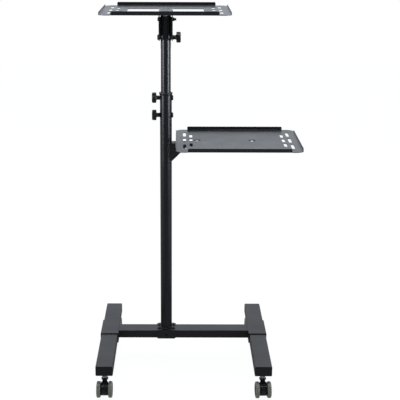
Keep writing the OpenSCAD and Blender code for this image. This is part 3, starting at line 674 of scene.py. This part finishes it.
one_knob = knob()
for node, carrier, facing, end in (("upper_clamp_knob", "upper_clamp_bolt", TO_LEFT, 1),
                                   ("lower_clamp_knob", "lower_clamp_bolt", TO_LEFT, 1),
                                   ("tilt_knob", "tilt_bolt", TO_RIGHT, 0)):
    foot_x = box_of(node)[end].x
    axis = box_of(carrier)[2]
    spun = Matrix.Rotation(UPPER_SPUN_BY if node.startswith("upper") else 0.0, 4, "Z")
    fitted(one_knob, [at(foot_x, axis.y, axis.z, facing @ spun)], node, 40,
           last=False)
bpy.data.objects.remove(one_knob)

# %% [markdown]
# Between each ear and the round pole lies a nylon liner, as long as the ear and hollowed to the
# pole, so no light shows through there. It is a bar with round ends, and the pole's own cylinder
# cuts its hollow.

# %% Liners of the tilt head
MAST_R, MAST_PLAY = 15, 0.05
LINER_ROUND = 6.8
BORE_PAST = 10  # how far the cutter stands out at each end
low, high, mid = box_of("tilt_spacers")
outer = (high.x - low.x) / 2
inner = MAST_R / 2 * MM
bars = []
for side in (-1, 1):
    bars.append(block((mid.x + side * (inner + outer) / 2, mid.y, mid.z),
                      (outer - inner, high.y - low.y, high.z - low.z)))
    editing()
    pick_edges(lambda a, b: abs(a.x - b.x) > 1)
    bevel(LINER_ROUND, 8)
    editing(False)
bore = turned(MAST_R + MAST_PLAY, (high.z - low.z) / MM + 2 * BORE_PAST,
              low.z / MM - BORE_PAST, 96)
bore.data.transform(Matrix.Translation((column.x, column.y, 0)))
stands_for(smooth(cut(joined(*bars), bore)), "tilt_spacers")

# %% [markdown]
# The end caps are moulded nylon, pressed into the tubes: a box with its long corners rounded like
# the tube's and its rim softened. The back is inset and pulled out to the plug that grips the
# tube, and the face is inset twice and pushed back by half a millimetre.

# %% End caps
FLANGE_T = 3
CORNER_R = 3
RIM_ROUND = 0.6
TUBE_WALL, PLUG_L = 1.7, 9
FACE_RIM, FACE_SLOPE, FACE_DEPTH = 0.9, 0.8, 0.5


def end_cap(node):
    low, high, mid = box_of(node)
    outside = -1 if mid.y < column.y else 1
    edge_y = low.y if outside < 0 else high.y
    face_y = edge_y / MM
    piece = block((mid.x, edge_y - outside * FLANGE_T / 2 * MM, mid.z),
                  (high.x - low.x, FLANGE_T * MM, high.z - low.z))
    editing()
    pick_edges(lambda a, b: abs(a.y - b.y) > 1)
    bevel(CORNER_R, 5)
    pick_edges(lambda a, b: max(abs(a.y - face_y), abs(b.y - face_y)) < 0.01)
    bevel(RIM_ROUND, 3)
    pick_faces(lambda centre, normal: normal.y * outside < -0.9)
    inset(TUBE_WALL)
    bpy.ops.mesh.extrude_region_move(
        TRANSFORM_OT_translate={"value": (0, -outside * PLUG_L * MM, 0)})
    pick_faces(lambda centre, normal:
               normal.y * outside > 0.999 and abs(centre.y - face_y) < 0.01)
    inset(FACE_RIM)
    inset(FACE_SLOPE)
    bpy.ops.transform.translate(value=(0, -outside * FACE_DEPTH * MM, 0))
    editing(False)
    stands_for(even_shading(smooth(piece, 30)), node)


for node in ("front_left_cap", "front_right_cap", "rear_left_cap", "rear_right_cap"):
    end_cap(node)

# %% [markdown]
# Hood and brake lever are moulded, so every edge has a radius. The CAD solids already have the
# shapes that carry the pin and the axle. A fine voxel remesh of a copy, and a few turns of
# smoothing, round their edges together, and a ball scoops the pad where a toe presses it.

# %% Caster hoods and brake levers
PAD_BALL_R = 9
BALL_IN_FRONT, BALL_UP = 7, 12  # from the lever's front and from its foot
for corner in ("front_left", "front_right", "rear_left", "rear_right"):
    node = f"{corner}_hood"
    hood = melted(merged_copy(node), voxel=0.55, turns=4)
    stands_for(smooth(hood, 60), node)

for node in ("front_left_brake", "front_right_brake"):
    lever = melted(merged_copy(node), voxel=0.4, turns=3)
    low, high, mid = box_of(node)
    bpy.ops.object.select_all(action="DESELECT")
    bpy.ops.mesh.primitive_uv_sphere_add(
        segments=48, ring_count=24, radius=PAD_BALL_R * MM,
        location=(mid.x, low.y - BALL_IN_FRONT * MM, low.z + BALL_UP * MM))
    stands_for(smooth(cut(lever, settled()), 50), node)

# %% [markdown]
# The stem of a caster screws into the foot. Between foot and hood it shows a zinc collar, turned
# with two narrow grooves; above it is the thread, below it the pin that the hood turns on. One
# stem is pulled out of its collar in both directions, and copied to the four corners.

# %% Caster stems
COLLAR_R, COLLAR_ROUND = 8, 0.8
STEM_R, PIN_R = 5, 4
THREADS, RUN_IN, ROOT = 11, 0.8, 0.9
TIP_SHORT = 0.1
HOOD_GAP = 0.3
GROOVE_W, GROOVE_DEPTH = 0.9, 0.5
GROOVE_AT = (0.3, 0.68)  # shares of the collar's height
low, high, _ = box_of("caster_stems")
hood_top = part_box("rear_left_hood")[1][2]
foot_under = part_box("left_foot")[0][2]
stem_l = (high.z - foot_under) / MM
collar_h = (foot_under - hood_top) / MM - HOOD_GAP
stem = turned(COLLAR_R, collar_h, 0, 64)
editing()
round_rim(0, COLLAR_ROUND, 3)
round_rim(collar_h, COLLAR_ROUND, 3)
pick_faces(lambda centre, normal: normal.z > 0.9)
inset(COLLAR_R - COLLAR_ROUND - STEM_R)
for _ in range(THREADS):
    pull(RUN_IN, ROOT)
    pull((stem_l - TIP_SHORT) / THREADS - RUN_IN, 1 / ROOT)
pick_faces(lambda centre, normal: normal.z < -0.9 and centre.z < 1)
inset(COLLAR_R - COLLAR_ROUND - PIN_R)
pull(-(hood_top + HOOD_GAP * MM - low.z) / MM)
editing(False)
for share in GROOVE_AT:
    groove = turned(COLLAR_R + 2, GROOVE_W, collar_h * share, 64)
    cut(groove, turned(COLLAR_R - GROOVE_DEPTH, 3, collar_h * share - 1, 64))
    cut(stem, groove)
fitted(stem, [at(x, y, hood_top + HOOD_GAP * MM)
              for x, y in four_corners(low, high, COLLAR_R * MM)], "caster_stems")

# %% [markdown]
# The steel is welded. A bead is a row of small overlapping puddles, so one ball is copied along
# the line and a remesh melts the row together. It rides on the base and has its paint.

# %% How a weld bead is made
PUDDLE_STEP = 1.6


def bead(name, points, radius):
    bpy.ops.object.select_all(action="DESELECT")
    bpy.ops.mesh.primitive_ico_sphere_add(subdivisions=2, radius=radius * MM)
    puddle = bpy.context.object
    row = copies(puddle, [Matrix.Translation(point) for point in points], name)
    bpy.data.objects.remove(puddle)
    smooth(melted(row, voxel=0.4, turns=2), 60)
    set_material(row, base_coat)
    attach(row, "base")
    print(name, len(points), "puddles")


def puddles(length, fewer):
    """How many puddles lie in a length, less a few to stay clear of its ends."""
    return range(int(length / MM / PUDDLE_STEP) - fewer)


# %% [markdown]
# One bead runs round the foot of the column. Two run down the arm where its sides meet the pole,
# and one crosses the crossbar at each saddle.

# %% Weld beads
pole_r = 17.5 * MM
ring_r = pole_r + 0.9 * MM
foot_z = seat_plane + 0.6 * MM
ring_count = int(2 * math.pi * pole_r / (PUDDLE_STEP * MM))
ring_angles = [2 * math.pi * i / ring_count for i in range(ring_count)]
bead("weld_pole", [Vector((column.x + ring_r * math.cos(angle),
                           column.y + ring_r * math.sin(angle), foot_z))
                   for angle in ring_angles], radius=2.4)

low, high, _ = box_of("tray_arm")
half_arm = (high.y - low.y) / 2
seam_x = column.x + math.sqrt(pole_r ** 2 - half_arm ** 2) + 0.2 * MM
for side, name in ((-1, "front"), (1, "back")):
    seam_y = column.y + side * (half_arm + 0.2 * MM)
    bead(f"weld_arm_{name}", [Vector((seam_x, seam_y, low.z + (1 + i * PUDDLE_STEP) * MM))
                              for i in puddles(high.z - low.z, 1)], radius=1.5)

bar_low, bar_high, _ = box_of("crossbar")
seam_z = bar_high.z - 0.6 * MM
for node in ("left_saddle", "right_saddle"):
    low, high, mid = box_of(node)
    edge_x = high.x if mid.x < column.x else low.x
    bead(f"weld_{node}_top", [Vector((edge_x, bar_low.y + (2 + i * PUDDLE_STEP) * MM, seam_z))
                              for i in puddles(bar_high.y - bar_low.y, 2)],
         radius=1.4)

# %% [markdown]
# The studio is a pale sweep with no edges. Floor and world show as white to the camera, and the
# floor still takes a faint shadow. In reflections both are dim in front and bright behind, so the
# trays and feet mirror a bright wall and the faces towards the front stay dark.

# %% Floor
WHITE = (1, 1, 1, 1)
FLOOR_GREY = (0.8, 0.8, 0.8, 1)
FLOOR_SIDE = 12
SEEN_GLOW = 1.06
GLOW_SHARE = 0.9  # the rest is plain paint, which keeps the shadow


def pale_floor():
    m = blank_material("pale_floor")
    path = add(m, "ShaderNodeLightPath")
    mirrored = add(m, "ShaderNodeMath", {"operation": "MAXIMUM"},
                   in0=path.outputs["Is Glossy Ray"], in1=path.outputs["Is Transmission Ray"])
    shown = add(m, "ShaderNodeMath", {"operation": "MAXIMUM"},
                in0=path.outputs["Is Camera Ray"], in1=mirrored.outputs[0])
    place = add(m, "ShaderNodeSeparateXYZ",
                Vector=add(m, "ShaderNodeTexCoord").outputs["Object"])
    depth = add(m, "ShaderNodeMapRange", Value=place.outputs["Y"], From_Min=-1.2, From_Max=1.0,
                To_Min=0.10, To_Max=0.36)
    level = add(m, "ShaderNodeMix", {"data_type": "FLOAT"}, in0=path.outputs["Is Camera Ray"],
                in2=depth.outputs["Result"], in3=SEEN_GLOW)
    glow = add(m, "ShaderNodeEmission", Color=WHITE, Strength=level.outputs["Result"])
    matt = add(m, "ShaderNodeBsdfDiffuse", Color=FLOOR_GREY)
    lit = add(m, "ShaderNodeMixShader", in0=GLOW_SHARE, in1=matt.outputs[0],
              in2=glow.outputs[0])
    return close_material(m, add(m, "ShaderNodeMixShader", in0=shown.outputs[0],
                                 in1=matt.outputs[0], in2=lit.outputs[0]))


bpy.ops.object.select_all(action="DESELECT")
bpy.ops.mesh.primitive_plane_add(size=FLOOR_SIDE, location=(0, 0, 0))
floor = bpy.context.object
floor.name = "studio_floor"
set_material(floor, pale_floor())
print("floor", FLOOR_SIDE, "m wide")

# %% [markdown]
# The world lights the cart from all round, faintly blue, and brightest from behind. The camera
# itself sees it plain white.

# %% World
COOL = (0.93, 0.98, 1.06, 1)

world = bpy.data.worlds.new("studio")
bpy.context.scene.world = world
world.use_nodes = True
world.node_tree.nodes.clear()
direction = add(world, "ShaderNodeSeparateXYZ",
                Vector=add(world, "ShaderNodeTexCoord").outputs["Generated"])
behind = add(world, "ShaderNodeMapRange", Value=direction.outputs["Y"], From_Min=-0.6,
             From_Max=0.7, To_Min=0.10, To_Max=1.05)
around = add(world, "ShaderNodeBackground", Color=COOL, Strength=behind.outputs["Result"])
backdrop = add(world, "ShaderNodeBackground", Color=WHITE, Strength=1.0)
by_camera = add(world, "ShaderNodeLightPath").outputs["Is Camera Ray"]
sky = add(world, "ShaderNodeMixShader", in0=by_camera, in1=around.outputs[0],
          in2=backdrop.outputs[0])
add(world, "ShaderNodeOutputWorld", Surface=sky.outputs[0])
print("world", len(world.node_tree.nodes), "nodes")


# %% [markdown]
# Two tall soft lamps at the sides draw the pair of lines down the column. Their beams are narrow
# and aimed at its upper half, so the lines fade towards the foot. A lamp overhead opens up the
# tops.

# %% Lamps
def soft_box(name, place, target, width, height, power, spread=180):
    data = bpy.data.lights.new(name, "AREA")
    data.shape = "RECTANGLE"
    data.size = width
    data.size_y = height
    data.energy = power
    data.spread = math.radians(spread)
    data.color = COOL[:3]
    lamp = bpy.data.objects.new(name, data)
    bpy.context.collection.objects.link(lamp)
    lamp.location = place
    lamp.rotation_euler = (Vector(target) - Vector(place)).to_track_quat("-Z", "Y").to_euler()
    print(name, power, "W")


clamps = (0, 0, 0.95)
middle = (0, 0, 0.55)
soft_box("left_strip", (-1.9, -1.0, 1.05), clamps, width=0.8, height=1.2, power=3.2,
         spread=50)
soft_box("right_strip", (1.85, -1.0, 1.05), clamps, width=0.6, height=1.2, power=4.5,
         spread=50)
soft_box("overhead", (0, 0.1, 2.6), middle, width=1.5, height=1.0, power=24)

bpy.context.scene.view_settings.view_transform = "Standard"
